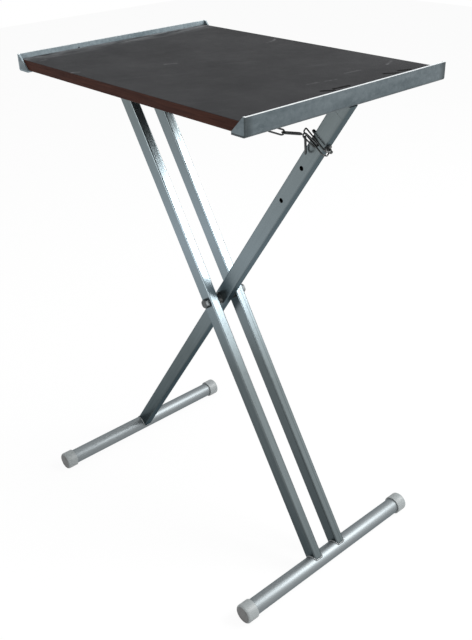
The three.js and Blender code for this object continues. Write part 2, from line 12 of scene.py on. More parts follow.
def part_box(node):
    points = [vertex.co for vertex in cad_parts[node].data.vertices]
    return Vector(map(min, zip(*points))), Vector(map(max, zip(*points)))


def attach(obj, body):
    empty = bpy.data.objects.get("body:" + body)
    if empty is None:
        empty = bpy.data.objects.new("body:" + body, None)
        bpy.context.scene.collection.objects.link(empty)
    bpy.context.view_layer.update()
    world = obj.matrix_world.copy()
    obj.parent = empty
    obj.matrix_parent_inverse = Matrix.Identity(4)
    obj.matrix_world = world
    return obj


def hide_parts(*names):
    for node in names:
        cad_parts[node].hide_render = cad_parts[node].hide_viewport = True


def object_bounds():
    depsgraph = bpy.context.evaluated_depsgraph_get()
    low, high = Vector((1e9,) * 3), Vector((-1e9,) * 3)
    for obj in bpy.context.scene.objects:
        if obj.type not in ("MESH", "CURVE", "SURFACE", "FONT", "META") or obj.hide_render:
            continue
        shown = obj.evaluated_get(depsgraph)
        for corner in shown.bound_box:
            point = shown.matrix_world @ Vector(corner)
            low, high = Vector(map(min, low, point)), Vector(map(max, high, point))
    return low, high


bl_info = {
    "name": "Typewriter Table",
    "version": (1, 0, 0),
    "blender": (4, 5, 0),
    "location": "3D View > Sidebar > Table",
    "description": "Dresses the packed table with its finishes, welds, feet, chain and stage",
    "category": "Object",
}

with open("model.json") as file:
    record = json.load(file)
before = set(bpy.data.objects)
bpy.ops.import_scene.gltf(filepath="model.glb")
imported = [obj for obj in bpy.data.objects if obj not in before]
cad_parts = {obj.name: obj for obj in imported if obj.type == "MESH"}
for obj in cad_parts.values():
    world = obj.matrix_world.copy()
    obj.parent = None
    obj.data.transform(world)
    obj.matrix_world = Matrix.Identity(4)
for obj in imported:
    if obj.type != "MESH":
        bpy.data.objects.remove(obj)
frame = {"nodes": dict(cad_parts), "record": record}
CAD_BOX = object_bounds()

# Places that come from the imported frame
JOINTS = {joint["name"]: joint for joint in frame["record"]["behaviour"]["joints"]}
PIVOT = np.array(JOINTS["fold"]["pos_m"])
HINGE = np.array(JOINTS["board_tilt"]["pos_m"])
LEG_UP = np.array(JOINTS["bail_swing"]["axis"], dtype=float)
OUTER_UP = (HINGE - PIVOT) / np.linalg.norm(HINGE - PIVOT)
BACK = np.array([0.0, 1.0, 0.0])


def node_box(name):
    """Lowest and highest corner of a node as arrays."""
    low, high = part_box(name)
    return np.array(low), np.array(high)


BOARD_LOW, BOARD_HIGH = node_box("table_board")
BOARD_MIDDLE = (BOARD_LOW + BOARD_HIGH) / 2
RAIL_TOP = node_box("right_rail")[1][2]

# Wide side of a leg's tube, and a millimetre in metres
LEG_WIDTH = 0.030
MM = 0.001


def colour_property(name, default, note):
    """A colour that the user may change."""
    return FloatVectorProperty(
        name=name, description=note, subtype="COLOR", size=3, min=0, max=1, default=default)


class TableFinishes(bpy.types.PropertyGroup):
    """Colours and wear of the table's surfaces."""

    film: colour_property("Film", (0.004, 0.0042, 0.005), "Film on the board's faces")
    film_worn: colour_property("Worn film", (0.02, 0.0205, 0.022), "Film where it has been rubbed pale")
    film_mark: colour_property("Film scratch", (0.15, 0.152, 0.158), "Scratches in the film")
    edge: colour_property("Board edge", (0.03, 0.011, 0.008), "Sealer on the board's cut edges")
    edge_worn: colour_property("Worn edge", (0.055, 0.022, 0.015), "Sealer where it is thin")
    rail_dark: colour_property("Zinc, dark grain", (0.1, 0.127, 0.14), "Dark crystals of the rails")
    rail_light: colour_property("Zinc, light grain", (0.18, 0.215, 0.232), "Light crystals of the rails")
    rail_tint: colour_property("Heat tint", (0.03, 0.036, 0.037), "Rail ends darkened by welding")
    # Painted highlight along the rails' top edges
    rail_painted_highlight: colour_property("Painted edge highlight", (0.78, 0.81, 0.82), "Painted highlight along the rails' top edges")
    # The tube colours also carry the legs' painted shade and light
    tube_dark: colour_property("Tube, dark", (0.05, 0.061, 0.065), "Dull streaks and painted shade on the plated tube")
    tube_light: colour_property("Tube, light", (0.225, 0.262, 0.268), "Bright streaks and painted light on the plated tube")
    # Colour of the painted sheen on the legs
    tube_painted_sheen: colour_property("Tube, painted sheen", (0.27, 0.33, 0.365), "Painted sheen on a stretch of the legs")
    foot_dark: colour_property("Foot, dark", (0.115, 0.13, 0.137), "Dull streaks on the foot tubes")
    foot_light: colour_property("Foot, light", (0.275, 0.3, 0.31), "Bright streaks on the foot tubes")
    cap: colour_property("Cap plastic", (0.225, 0.245, 0.248), "Plastic of the foot caps")
    # Darker towards the caps' bottom, scuffs, and painted shade on their closed ends
    cap_scuff_and_shade: colour_property("Cap scuffs and shade", (0.065, 0.064, 0.064), "Caps darker towards the bottom, scuffs, and painted shade on the closed ends")
    steel: colour_property("Chain steel", (0.1, 0.105, 0.105), "Wire of the chain, bail and eye")
    bolt: colour_property("Bolt zinc", (0.13, 0.14, 0.143), "Plating of bolts, nuts and screws")
    weld: colour_property("Weld", (0.24, 0.255, 0.26), "Weld beads under the plating")


class TableSizes(bpy.types.PropertyGroup):
    """Sizes of the pieces that are added to the frame."""

    bead: FloatProperty(
        name="Weld bead", description="Radius of a weld bead", subtype="DISTANCE", unit="LENGTH",
        default=0.0019, min=0.0005, max=0.01)
    ripple: FloatProperty(
        name="Weld ripple", description="Length of one ripple along a weld bead", subtype="DISTANCE",
        unit="LENGTH", default=0.0028, min=0.0005, max=0.02)
    last_link_extra: FloatProperty(
        name="Last link", description="Extra length of the last chain link towards the lock",
        subtype="DISTANCE", unit="LENGTH", default=0.0033, min=0.0, max=0.01)
    bail_wire: FloatProperty(
        name="Bail wire", description="Radius of the lock's sprung wire", subtype="DISTANCE", unit="LENGTH",
        default=0.0013, min=0.0005, max=0.003)
    round_steps: IntProperty(
        name="Round steps", description="Steps round a foot tube or cap", default=96, min=16, max=256)


class TableCamera(bpy.types.PropertyGroup):
    """The photograph's viewpoint."""

    place: FloatVectorProperty(
        name="Place", description="Camera position", subtype="TRANSLATION", unit="LENGTH", size=3,
        default=(1.18075, -0.97463, 1.30642))
    yaw: FloatProperty(
        name="Yaw", description="Turn to the right of looking along +Y", subtype="ANGLE", default=-0.858)
    pitch: FloatProperty(name="Pitch", description="Turn upwards", subtype="ANGLE", default=-0.51)
    roll: FloatProperty(name="Roll", description="Turn about the view", subtype="ANGLE", default=-0.033)
    focal_pixels: FloatProperty(
        name="Focal length", description="Focal length in pixels of the photograph", default=838.28, min=1)
    frame_height: IntProperty(
        name="Frame height", description="Height of the photograph in pixels", default=640, min=1)


class TableSettings(bpy.types.PropertyGroup):
    """Everything that a user may change."""

    finishes: PointerProperty(type=TableFinishes)
    sizes: PointerProperty(type=TableSizes)
    camera: PointerProperty(type=TableCamera)


def settings(context):
    return context.scene.typewriter_table


class Value:
    """A shader socket that takes part in Python expressions."""

    def __init__(self, finish, socket):
        self.finish = finish
        self.socket = socket

    def math(self, operation, *others, clamp=False):
        inputs = dict(enumerate((self, *others)))
        return self.finish.make("ShaderNodeMath", {"operation": operation, "use_clamp": clamp}, inputs)

    def __add__(self, other):
        return self.math("ADD", other)

    __radd__ = __add__

    def __mul__(self, other):
        return self.math("MULTIPLY", other)

    __rmul__ = __mul__

    def __sub__(self, other):
        return self.math("SUBTRACT", other)

    def __rsub__(self, other):
        return (self * -1.0) + other

    def __truediv__(self, other):
        return self.math("DIVIDE", other)

    def __abs__(self):
        return self.math("ABSOLUTE")

    def __gt__(self, other):
        return self.math("GREATER_THAN", other)

    def __lt__(self, other):
        return self.math("LESS_THAN", other)

    def clamp(self):
        return self.math("ADD", 0.0, clamp=True)

    def power(self, exponent):
        return self.math("POWER", exponent)

    def sine(self):
        return self.math("SINE")


class Finish:
    """The nodes of a material or of the surroundings, built from expressions on their sockets."""

    def __init__(self, owner, output="ShaderNodeOutputMaterial"):
        owner.use_nodes = True
        self.owner = owner
        self.tree = owner.node_tree
        self.tree.nodes.clear()
        self.output = self.tree.nodes.new(output)

    @classmethod
    def material(cls, name):
        return cls(bpy.data.materials.new(name))

    def make(self, kind, options=None, inputs=None, output=0):
        """Add a node, set its options, then its sockets, and give one output or a list of them back."""
        node = self.tree.nodes.new(kind)
        for key, option in (options or {}).items():
            if key == "stops":
                ramp = node.color_ramp
                while len(ramp.elements) < len(option):
                    ramp.elements.new(0.5)
                for element, (place, level) in zip(ramp.elements, option):
                    element.position = place
                    element.color = (level, level, level, 1.0)
            else:
                setattr(node, key, option)
        for key, value in (inputs or {}).items():
            if isinstance(value, Value):
                self.tree.links.new(value.socket, node.inputs[key])
            else:
                node.inputs[key].default_value = value
        if isinstance(output, tuple):
            return [Value(self, node.outputs[key]) for key in output]
        return Value(self, node.outputs[output])

    def coordinates(self):
        return self.make("ShaderNodeTexCoord", output="Object")

    def parts(self, vector):
        """The X, Y and Z of a vector, or the channels of a colour."""
        return self.make("ShaderNodeSeparateXYZ", None, {0: vector}, (0, 1, 2))

    def mapped(self, scale, turn=(0.0, 0.0, 0.0)):
        """Object coordinates, turned and then scaled."""
        turned = self.make("ShaderNodeMapping", None, {"Vector": self.coordinates(), "Rotation": turn})
        return self.make("ShaderNodeMapping", None, {"Vector": turned, "Scale": scale})

    def noise(self, vector, scale, detail=4.0, roughness=0.55):
        inputs = {"Vector": vector, "Scale": scale, "Detail": detail, "Roughness": roughness}
        return self.make("ShaderNodeTexNoise", None, inputs)

    def ramp(self, value, *stops):
        return self.make("ShaderNodeValToRGB", {"stops": stops}, {"Fac": value})

    def mix(self, first, second, factor):
        """Blend two colours."""
        def colour(value):
            return value if isinstance(value, Value) else (*value, 1.0)

        inputs = {0: factor, 6: colour(first), 7: colour(second)}
        return self.make("ShaderNodeMix", {"data_type": "RGBA"}, inputs, output=2)

    def bump(self, height, distance, strength=1.0):
        inputs = {"Strength": strength, "Distance": distance, "Height": height}
        return self.make("ShaderNodeBump", None, inputs)

    def surface(self, colour, roughness, metallic, normal=None, **constants):
        inputs = {"Base Color": colour, "Roughness": roughness, "Metallic": metallic}
        inputs.update({key.replace("_", " "): value for key, value in constants.items()})
        if normal is not None:
            inputs["Normal"] = normal
        return self.close(self.make("ShaderNodeBsdfPrincipled", None, inputs))

    def close(self, shader):
        """Join a shader to the output and give the finished material or surroundings back."""
        self.tree.links.new(shader.socket, self.output.inputs["Surface"])
        return self.owner


def dress(node, material):
    """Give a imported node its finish."""
    slots = frame["nodes"][node].data.materials
    slots.clear()
    slots.append(material)


def grid_piece(name, points, close_rows, close_columns, material, sharp=math.radians(35)):
    """A surface through a grid of points, with rows or columns joined round where asked."""
    rows, columns = points.shape[:2]
    index = np.arange(rows * columns).reshape(rows, columns)
    below = np.roll(index, -1, axis=0) if close_rows else index[1:]
    here = index if close_rows else index[:-1]
    if close_columns:
        right_here, right_below = np.roll(here, -1, axis=1), np.roll(below, -1, axis=1)
    else:
        right_here, right_below = here[:, 1:], below[:, 1:]
        here, below = here[:, :-1], below[:, :-1]
    faces = np.stack([here, right_here, right_below, below], axis=-1).reshape(-1, 4)
    mesh = bpy.data.meshes.new(name)
    mesh.from_pydata(points.reshape(-1, 3).tolist(), [], faces.tolist())
    build = bmesh.new()
    build.from_mesh(mesh)
    bmesh.ops.remove_doubles(build, verts=build.verts, dist=1e-6)
    bmesh.ops.recalc_face_normals(build, faces=build.faces)
    build.to_mesh(mesh)
    build.free()
    mesh.shade_smooth()
    mesh.set_sharp_from_angle(angle=sharp)
    mesh.materials.append(material)
    piece = bpy.data.objects.new(name, mesh)
    bpy.context.scene.collection.objects.link(piece)
    return piece


def revolve_y(profile, centre, steps):
    """Revolve (radius, y) pairs about a line along Y through a centre."""
    angle = np.linspace(0.0, 2 * np.pi, steps, endpoint=False)
    radius, along = np.array(profile).T
    x = centre[0] + np.outer(radius, np.sin(angle))
    z = centre[2] + np.outer(radius, np.cos(angle))
    y = np.repeat(along[:, None], steps, axis=1)
    return np.stack([x, y, z], axis=-1)


def fillet(centre, radius, start, end, steps):
    """Points of an arc in (radius, y), from one angle to another."""
    angle = np.linspace(start, end, steps)
    return np.stack([centre[0] + radius * np.cos(angle), centre[1] + radius * np.sin(angle)], axis=-1)


def sweep(path, section_radius, sides, across):
    """A round section carried round a closed path; across is a direction that is never along the path."""
    tangent = np.roll(path, -1, axis=0) - np.roll(path, 1, axis=0)
    tangent = tangent / np.linalg.norm(tangent, axis=1, keepdims=True)
    side = np.cross(tangent, across)
    side = side / np.linalg.norm(side, axis=1, keepdims=True)
    other = np.cross(tangent, side)
    angle = np.linspace(0.0, 2 * np.pi, sides, endpoint=False)
    radius = np.broadcast_to(section_radius, len(path))[:, None, None]
    ring = side[:, None] * np.cos(angle)[None, :, None] + other[:, None] * np.sin(angle)[None, :, None]
    return path[:, None] + radius * ring


# Marks on the film, from and to in mm from the board's middle, with half width in mm and strength
FILM_SCRATCHES = (
    (-66, -74, -56, -55, 3.5, 0.6),
    (-262, -208, -263, -195, 3.5, 0.7),
    (-137, -221, -131, -208, 3.5, 0.7),
    (-63, 173, -70, 200, 3.5, 0.4),
    (-72, 198, -83, 221, 4.0, 0.42),
    (222, -11, 235, 43, 3.5, 0.28),
    (217, 83, 220, 116, 3.5, 0.27),
    (228, 176, 215, 204, 3.5, 0.4),
)
# Dark blotches on the film beside the right rail, in the same columns
FILM_BLOTCHES = (
    (268, -27, 279, -12, 7.0, 0.9),
    (273, -4, 277, 26, 6.0, 0.9),
    (268, 124, 279, 140, 6.5, 0.9),
    (270, 154, 279, 174, 6.5, 0.9),
)
FACE_DEPTH = 0.0004
IMPRINT_PITCH = 0.0062
RAIL_SCUFF = 0.045


def film_finish(finishes):
    """Dark film with a fine mesh imprint, rubbed pale in places, on a board with sealed brown edges."""
    finish = Finish.material("film_faced_board")
    coords = finish.coordinates()
    x, y, z = finish.parts(coords)
    face = ((z > BOARD_HIGH[2] - FACE_DEPTH) + (z < BOARD_LOW[2] + FACE_DEPTH)).clamp()
    cloud = finish.ramp(finish.noise(coords, 7.0, 6.0), (0.35, 0.0), (0.72, 1.0))
    grime = finish.noise(coords, 45.0, 5.0, 0.65)
    warp = (finish.noise(coords, 30.0, 2.0) - 0.5) * 0.006
    wave = 2 * math.pi / IMPRINT_PITCH
    imprint = abs((x * wave).sine() * (y * wave).sine())
    scratches = 0.0
    for *mark, strength in FILM_SCRATCHES:
        scratches = stroke(x + warp, y + warp, *mark) * strength + scratches
    blotches = 0.0
    for *mark, strength in FILM_BLOTCHES:
        blotches = stroke(x + warp * 2.0, y + warp, *mark) * strength + blotches
    rub = finish.noise(finish.mapped((60.0, 9.0, 9.0), (0, 0, 0.5)), 1.0, 5.0)
    rub = finish.ramp(rub, (0.6, 0.0), (0.8, 1.0))
    film = finish.mix(finishes.film, finishes.film_worn, (cloud * 0.55 + grime * 0.35).clamp())
    broken = finish.ramp(finish.noise(coords, 120.0, 3.0), (0.35, 0.0), (0.6, 1.0))
    scuff = finish.noise(finish.mapped((90.0, 14.0, 1.0)), 1.0, 5.0, 0.65)
    scuff = finish.ramp(scuff, (0.4, 0.0), (0.62, 1.0))
    by_rail = (1.0 - (x - BOARD_LOW[0]) / RAIL_SCUFF).clamp() * scuff
    film = finish.mix(film, finishes.film_worn, (1.0 - imprint) * 0.6)
    film = finish.mix(film, finishes.film_mark, (scratches * broken + rub * 0.07 + by_rail * 0.8).clamp())
    # Near-black blotches on the film beside the right rail
    blotch = finish.ramp(blotches.clamp(), (0.25, 0.0), (0.5, 1.0))
    film = finish.mix(film, (0.0006, 0.0006, 0.0006), blotch)
    streak = finish.noise(finish.mapped((18.0, 60.0, 400.0)), 1.0, 4.0)
    edge = finish.mix(finishes.edge, finishes.edge_worn, finish.ramp(streak, (0.4, 0.0), (0.75, 1.0)))
    colour = finish.mix(edge, film, face)
    roughness = 0.6 + grime * 0.15 - cloud * 0.06 + blotch * 0.3
    normal = finish.bump(imprint * face * 0.7 + grime * 0.6, 0.00025, 0.5)
    return finish.surface(colour, roughness, 0.0, normal, Specular_IOR_Level=0.08)


def stroke(x, y, x0, y0, x1, y1, width):
    """A soft line from one place on the board to another: 1 on the line, 0 at its width."""
    dx, dy = (x1 - x0) * MM, (y1 - y0) * MM
    x0, y0 = BOARD_MIDDLE[0] + x0 * MM, y0 * MM
    span = dx * dx + dy * dy
    along = ((x - x0) * (dx / span) + (y - y0) * (dy / span)).clamp()
    off_x = x - x0 - along * dx
    off_y = y - y0 - along * dy
    return (1.0 - (off_x * off_x + off_y * off_y).power(0.5) / (width * MM)).clamp()


# Small dark pits on the inside of the left rail
RAIL_DOTS = ((-0.2749, -0.0946, 0.9827), (-0.2749, -0.2098, 0.9779))
DOT_RADIUS = 0.0016
# Depth of the painted highlight along the rails' top edges
TOP_HIGHLIGHT_DEPTH = 0.0005


def galvanised_finish(name, finishes, heat, level):
    """Hot-dip zinc: crystals of light and dark grey, streaks, and heat tint at the welded ends; the level
    paints the whole piece lighter or darker, and the top edge carries a painted highlight.
    """
    finish = Finish.material(name)
    coords = finish.coordinates()
    x, y, z = finish.parts(coords)
    flattened = finish.mapped((1.0, 1.0, 1.6))
    cells = finish.make("ShaderNodeTexVoronoi", None, {"Vector": flattened, "Scale": 85.0}, "Color")
    crystal = finish.parts(cells)[0]
    fine = finish.noise(coords, 160.0, 6.0, 0.6)
    broad = finish.noise(finish.mapped((20.0, 6.0, 40.0)), 1.0, 4.0)
    tone = (crystal * 0.3 + fine * 1.1 + broad * 2.2 - 1.35).clamp()
    end = (BOARD_HIGH[1] - abs(y)) * -90.0 + 1.1
    tint = (end + fine * 0.3 - 0.15).clamp()
    # The level scales the zinc's colours for each piece: painted light and shade on copies of one zinc
    dark = tuple(level * part for part in finishes.rail_dark)
    light = tuple(level * part for part in finishes.rail_light)
    colour = finish.mix(dark, light, tone)
    colour = finish.mix(colour, finishes.rail_tint, tint * heat)
    for place in RAIL_DOTS:
        off = [part - value for part, value in zip((x, y, z), place)]
        reach = (off[0] * off[0] + off[1] * off[1] + off[2] * off[2]).power(0.5)
        colour = finish.mix(colour, (0.01, 0.01, 0.01), (1.8 - reach / DOT_RADIUS).clamp())
    # Painted highlight: the rails' top half millimetre is coloured near white in place of the light caught
    # by the edge
    rubbed = (z > RAIL_TOP - TOP_HIGHLIGHT_DEPTH) * (0.75 + fine * 0.25)
    colour = finish.mix(colour, finishes.rail_painted_highlight, rubbed)
    roughness = 0.36 + fine * 0.2
    normal = finish.bump(crystal * 0.4 + fine, 0.0002, 0.35)
    return finish.surface(colour, roughness, 0.9, normal)


# Painted sheen on a stretch of a leg: its middle and reach as shares of the height, and its strength
OUTER_PAINTED_SHEEN = (0.65, 0.25, 1.15)
CENTRE_PAINTED_SHEEN = (0.66, 0.3, 0.55)
SEAM_REACH = 0.0012


def tube_finish(name, shades, lines, turn=0.0, painted_height_shade=0.0, lift=0.0, dullness=0.3, streaks=0.4,
                painted_shade_side=(0.0, 0.0, 0.0), seam=None, bright=None):
    """Bright-plated tube: fine drawing lines along it and dull patches; where asked, painted shade towards
    the lower end and painted light towards the top, painted shade on the faces turned one way, and a
    painted sheen on a stretch of its height.
    """
    finish = Finish.material(name)
    coords = finish.coordinates()
    z = finish.parts(coords)[2]
    drawn = finish.noise(finish.mapped(lines, (0.0, turn, 0.0)), 1.0, 5.0, 0.6)
    patches = finish.noise(coords, 22.0, 5.0, 0.6)
    specks = finish.ramp(finish.noise(coords, 240.0, 2.0), (0.66, 0.0), (0.74, 1.0))
    height = (z / BOARD_LOW[2]).clamp()
    facing = finish.parts(finish.make("ShaderNodeTexCoord", output="Normal"))
    # Painted shade: faces turned towards the given side are darkened in place of the shade on that side of
    # the tube
    painted_shade = (facing[0] * painted_shade_side[0] + facing[1] * painted_shade_side[1] + facing[2] * painted_shade_side[2]).clamp()
    mottle = (drawn + patches * 0.4 - 0.7) * streaks
    # The tone falls towards the lower end and rises towards the top: painted shade and light along the
    # height
    tone = (mottle + 0.5 + (height - 0.5) * painted_height_shade + lift - painted_shade).clamp()
    colour = finish.mix(*shades, tone)
    colour = finish.mix(colour, (0.5, 0.52, 0.53), specks * streaks * 0.15)
    # Painted sheen: a lighter stretch along the height, kept off the faces with painted shade
    if bright is not None:
        painted_sheen_colour, middle, reach, strength = bright
        painted_sheen = (1.0 - abs(height - middle) / reach).clamp() * strength
        colour = finish.mix(colour, painted_sheen_colour, (painted_sheen * (1.0 - painted_shade * painted_shade * 4.0)).clamp())
    if seam is not None:
        off = abs(finish.parts(coords)[1] - seam)
        colour = finish.mix(colour, shades[0], (1.0 - off / SEAM_REACH).clamp() * 0.8)
    roughness = dullness + patches * streaks * 0.2
    return finish.surface(colour, roughness, 0.97, Specular_Tint=(0.36, 0.41, 0.44, 1.0))


# Height over which the caps darken towards the bottom, and depth of the painted shade on their closed ends
CAP_DARKENING_HEIGHT = 0.012
CAP_END_SHADE_DEPTH = 0.004


def cap_finish(finishes):
    """Moulded grey plastic, finely grained and scuffed, darker towards the bottom, with painted shade on
    its closed end.
    """
    finish = Finish.material("cap_plastic")
    coords = finish.coordinates()
    y, z = finish.parts(coords)[1:]
    grain = finish.noise(coords, 420.0, 3.0)
    scuff = finish.ramp(finish.noise(coords, 70.0, 6.0, 0.7), (0.5, 0.0), (0.78, 1.0))
    # The cap darkens towards the bottom
    under = (1.0 - z / CAP_DARKENING_HEIGHT).clamp()
    # Painted shade: the flat closed end faces are darkened in place of the shade on them
    facing = abs(finish.parts(finish.make("ShaderNodeTexCoord", output="Normal"))[1])
    rubbed = finish.ramp(facing, (0.8, 0.0), (1.0, 1.0)) * (abs(y) > CAD_BOX[1][1] - CAP_END_SHADE_DEPTH)
    scuff_and_shade = (under * 0.8 + scuff * 0.2 + rubbed * 0.85).clamp()
    colour = finish.mix(finishes.cap, finishes.cap_scuff_and_shade, scuff_and_shade)
    normal = finish.bump(grain, 0.00015, 0.4)
    return finish.surface(colour, 0.46 + scuff * 0.15, 0.0, normal)


def steel_finish(name, colour, dullness):
    """Small plated steel pieces: mottled, with brighter high spots."""
    finish = Finish.material(name)
    coords = finish.coordinates()
    mottle = finish.noise(coords, 180.0, 5.0, 0.65)
    dark = tuple(part * 0.5 for part in colour)
    tone = finish.ramp(mottle, (0.3, 0.0), (0.68, 1.0))
    blended = finish.mix(dark, tuple(colour), tone)
    normal = finish.bump(mottle, 0.00012, 0.35)
    return finish.surface(blended, dullness + mottle * 0.15, 0.95, normal)


class TABLE_OT_board(bpy.types.Operator):
    """Film, imprint, scratches and sealed edges of the board"""

    bl_idname = "table.board"
    bl_label = "Dress Board"

    def execute(self, context):
        dress("table_board", film_finish(settings(context).finishes))
        return {"FINISHED"}


RAIL_PLATES = [
    f"{side}_gusset_{end}" for side in ("left", "right") for end in ("front", "back")
] + ["hinge_lug_front", "hinge_lug_back"]


class TABLE_OT_rails(bpy.types.Operator):
    """Galvanised rails, their gussets and the hinge lugs"""

    bl_idname = "table.rails"
    bl_label = "Dress Rails"

    def execute(self, context):
        finishes = settings(context).finishes
        # Painted shade and light: the right rail's zinc is painted darker and the left rail's lighter than
        # the plates
        dress("right_rail", galvanised_finish("galvanised_right_rail", finishes, 0.6, 0.72))
        dress("left_rail", galvanised_finish("galvanised_left_rail", finishes, 0.0, 1.7))
        plates = galvanised_finish("galvanised_plate", finishes, 0.0, 1.0)
        for node in RAIL_PLATES:
            dress(node, plates)
        return {"FINISHED"}


def lean(direction):
    """Angle from upright of a direction in X and Z, as a turn about Y."""
    return math.atan2(direction[0], direction[2])


class TABLE_OT_legs(bpy.types.Operator):
    """Plated rectangular tube of the three legs and the seat under the right rail"""

    bl_idname = "table.legs"
    bl_label = "Dress Legs"

    def execute(self, context):
        finishes = settings(context).finishes
        lines = (260.0, 260.0, 5.0)
        shades = (finishes.tube_dark, finishes.tube_light)
        rear_low, rear_high = node_box("outer_leg_back")
        # Painted shade on the outer legs' front faces; their higher lift paints them lighter than the
        # centre leg, a lit copy of one plated tube
        outer = tube_finish(
            "outer_leg_tube", shades, lines, turn=-lean(OUTER_UP), painted_height_shade=0.8, lift=0.12, dullness=0.25,
            streaks=0.3, painted_shade_side=-0.16 * BACK, seam=rear_low[1] + 0.6 * (rear_high[1] - rear_low[1]),
            bright=(finishes.tube_painted_sheen, *OUTER_PAINTED_SHEEN))
        # Painted shade on the centre leg's lower right face, which lies in the shade under the table
        centre = tube_finish(
            "centre_leg_tube", shades, lines, turn=-lean(LEG_UP), painted_height_shade=0.5, dullness=0.28, streaks=0.4,
            painted_shade_side=0.3 * np.cross(BACK, LEG_UP), bright=(finishes.tube_painted_sheen, *CENTRE_PAINTED_SHEEN))
        for node in ("outer_leg_front", "outer_leg_back"):
            dress(node, outer)
        for node in ("centre_leg", "leg_seat"):
            dress(node, centre)
        return {"FINISHED"}


FEET = {"left": "centre_frame", "right": "outer_frame"}


def foot_tube_points(node, steps):
    """A round tube along Y from a node's box, with rounded rims and its bore."""
    low, high = node_box(node)
    centre = (low + high) / 2
    radius = (high[2] - low[2]) / 2
    wall = 0.002
    rim = 0.0005
    inner = radius - wall
    rows = [
        fillet((radius - rim, high[1] - rim), rim, 0.0, np.pi / 2, 4),
        [[inner, high[1]], [inner, low[1]]],
        fillet((radius - rim, low[1] + rim), rim, -np.pi / 2, 0.0, 4),
    ]
    return revolve_y(np.vstack(rows), centre, steps)


def cap_points(node, steps, facing):
    """A cup over the tube's end: rounded closed end, plain wall, bevelled lip and its bore."""
    low, high = node_box(node)
    centre = (low + high) / 2
    radius = (high[2] - low[2]) / 2
    length = high[1] - low[1]
    end_round, lip, wall, floor = 0.0045, 0.0012, 0.00285, 0.003
    bore = radius - wall
    rows = [
        [[0.0, length - floor], [bore, length - floor], [bore, 0.0]],
        fillet((radius - lip, lip), lip, -np.pi / 2, 0.0, 5),
        fillet((radius - end_round, length - end_round), end_round, 0.0, np.pi / 2, 9),
        [[0.0, length]],
    ]
    profile = np.vstack(rows)
    profile[:, 1] = low[1] + profile[:, 1] if facing > 0 else high[1] - profile[:, 1]
    return revolve_y(profile, centre, steps)


class TABLE_OT_feet(bpy.types.Operator):
    """Round foot tubes and their plastic caps"""

    bl_idname = "table.feet"
    bl_label = "Make Feet"

    def execute(self, context):
        finishes = settings(context).finishes
        steps = settings(context).sizes.round_steps
        tube = tube_finish(
            "foot_tube", (finishes.foot_dark, finishes.foot_light), (230.0, 5.0, 230.0), lift=0.15,
            dullness=0.5, streaks=0.12)
        plastic = cap_finish(finishes)
        for side, body in FEET.items():
            node = f"{side}_foot_tube"
            piece = grid_piece(f"{node}_round", foot_tube_points(node, steps), True, True, tube)
            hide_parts(node)
            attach(piece, body)
            for end, facing in (("front", -1), ("back", 1)):
                node = f"{side}_foot_cap_{end}"
                piece = grid_piece(f"{node}_round", cap_points(node, steps, facing), False, True, plastic)
                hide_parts(node)
                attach(piece, body)
        return {"FINISHED"}


FASTENERS = ["pivot_bolt", "pivot_nut", "pivot_washer_front", "pivot_washer_back"]
FASTENERS += [f"hinge_{part}_{side}" for part in ("bolt", "nut") for side in ("front", "back")]
FASTENERS += [f"{side}_rail_screw_{row}" for side in ("left", "right") for row in (1, 2, 3, 4)]


class TABLE_OT_fasteners(bpy.types.Operator):
    """Plated bolts, nuts, washers and screws, and the dark spacers"""

    bl_idname = "table.fasteners"
    bl_label = "Dress Fasteners"

    def execute(self, context):
        finishes = settings(context).finishes
        plated = steel_finish("plated_fastener", finishes.bolt, 0.28)
        for node in FASTENERS:
            dress(node, plated)
        dark = steel_finish("spacer_steel", finishes.steel, 0.3)
        for node in ("pivot_spacer_front", "pivot_spacer_back"):
            dress(node, dark)
        return {"FINISHED"}


LINK_BODIES = {f"chain_link_{number}": "chain" for number in (1, 2, 3, 4)}
LINK_BODIES.update({node: "lock_bail" for node in ("lock_bail", "chain_link_5", "chain_link_6")})
LINK_WIRE = 0.0015
WIRE_SIDES = 14
TAIL_LEAN = 0.06
TAIL_FACING = (-0.6, 0.8)
BAIL_HALF_GAP = 0.0044
BAIL_BULGE = 0.0045
BAIL_FRONT = -0.0148
BAIL_FAR_END = -0.03
BAIL_ROUNDING = 6


def link_frame(node):
    """Middle of a chain link, its long, wide and flat directions, and how far it reaches along each."""
    mesh = frame["nodes"][node].data
    corners = np.empty(len(mesh.vertices) * 3)
    mesh.vertices.foreach_get("co", corners)
    corners = np.unique(np.round(corners.reshape(-1, 3), 6), axis=0)
    centre = (corners.max(axis=0) + corners.min(axis=0)) / 2
    axes = np.linalg.svd(corners - corners.mean(axis=0), full_matrices=False)[2]
    reach = np.abs((corners - centre) @ axes.T).max(axis=0)
    return centre, axes, reach


def link_points(centre, axes, reach):
    """A long link of round wire: two straight runs joined by two half circles."""
    bend = reach[1] - LINK_WIRE
    straight = reach[0] - reach[1]
    angle = np.linspace(0.0, 2 * np.pi, 48, endpoint=False) + np.pi / 48
    along = bend * np.cos(angle) + straight * np.sign(np.cos(angle))
    path = centre + along[:, None] * axes[0] + (bend * np.sin(angle))[:, None] * axes[1]
    return sweep(path, LINK_WIRE, WIRE_SIDES, axes[2])


def last_link(longer):
    """The chain's last link, drawn longer towards the lock so that it meets the link on the bail."""
    centre, axes, reach = link_frame("chain_link_4")
    towards = centre - link_frame("chain_link_3")[0]
    ahead = axes[0] * np.sign(axes[0] @ towards)
    return link_points(centre + ahead * longer / 2, axes, reach + np.array([longer / 2, 0.0, 0.0]))


